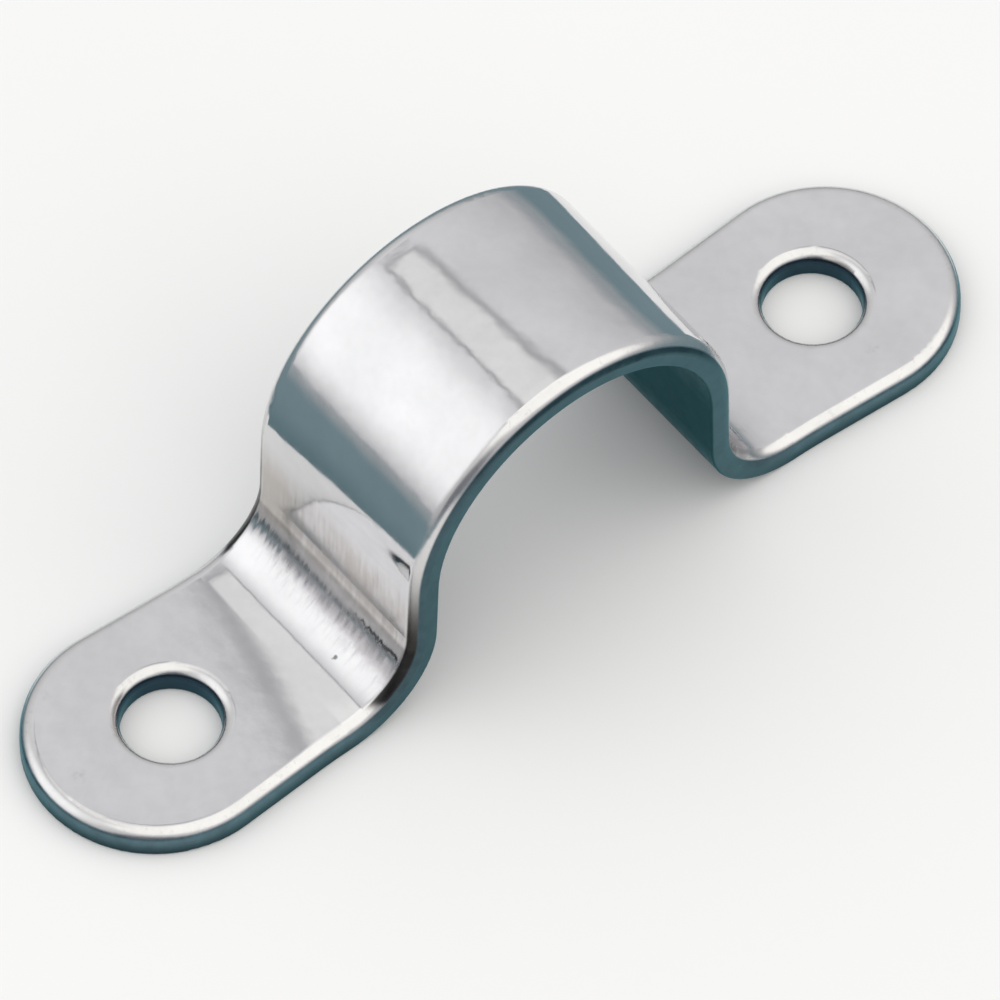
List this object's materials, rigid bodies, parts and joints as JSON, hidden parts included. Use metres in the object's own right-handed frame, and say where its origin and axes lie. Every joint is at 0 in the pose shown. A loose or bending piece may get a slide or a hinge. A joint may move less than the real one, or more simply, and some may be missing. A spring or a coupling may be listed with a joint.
{
  "type": "conduit strap",
  "caption": "Two-hole saddle strap pressed from rounded stainless steel sheet, to hold a round conduit against a wall.",
  "frame": {"origin": "midway between the two screw holes, on the underside of the feet, where the strap meets the wall", "axes": "+X runs along the strap from one foot to the other, +Y along the conduit, +Z away from the wall through the crown of the saddle"},
  "size_m": [0.0706, 0.0168, 0.0237],
  "materials": {
    "steel": "polished stainless steel with fine tumbling and forming marks"
  },
  "bodies": {
    "root": {"strap": "steel"}
  },
  "joints": []
}
